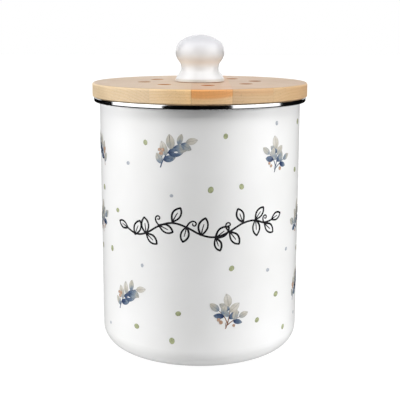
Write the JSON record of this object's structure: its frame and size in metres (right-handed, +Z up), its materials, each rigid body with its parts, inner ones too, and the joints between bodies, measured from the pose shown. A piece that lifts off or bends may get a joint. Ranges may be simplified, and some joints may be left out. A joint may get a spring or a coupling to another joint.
{
  "type": "compost caddy",
  "caption": "Round countertop compost caddy: enamelled steel canister with a steel rim, a lift-off vented wooden lid, a charcoal filter under it and a ceramic knob.",
  "frame": {"origin": "centre of the base, on the surface that the caddy stands on", "axes": "+Z up along the canister's axis, -Y towards the front, with the lid's glue joints running along Y"},
  "size_m": [0.16, 0.16, 0.2349],
  "materials": {
    "enamel": "glossy vitreous enamel",
    "rim_steel": "polished stainless steel",
    "lid_wood": "oiled, satin",
    "silicone": "translucent white silicone",
    "glazed_ceramic": "glossy white glaze",
    "fibre": "pressed fibre",
    "bush_brass": "turned",
    "zinc_steel": "zinc plated",
    "holder_plastic": "moulded, matt",
    "charcoal_felt": "needled felt with activated charcoal"
  },
  "bodies": {
    "canister": {"body_shell": "enamel", "rim_band": "rim_steel"},
    "lid": {"lid_stave_1": "lid_wood", "lid_stave_2": "lid_wood", "lid_stave_3": "lid_wood", "lid_stave_4": "lid_wood", "lid_stave_5": "lid_wood", "lid_seal": "silicone", "knob": "glazed_ceramic", "knob_pad": "fibre", "knob_bush": "bush_brass", "knob_screw": "zinc_steel", "knob_washer": "zinc_steel", "filter_holder": "holder_plastic", "holder_screws": "zinc_steel"},
    "filter_tray": {"filter_cover": "holder_plastic", "charcoal_filter": "charcoal_felt"}
  },
  "joints": [
    {"name": "lid_lift", "type": "slide", "parent": "canister", "child": "lid", "axis": [0, 0, 1], "range_m": [0, 0.12]},
    {"name": "filter_cover_pull", "type": "slide", "parent": "lid", "child": "filter_tray", "axis": [0, 0, -1], "range_m": [0, 0.03]}
  ]
}
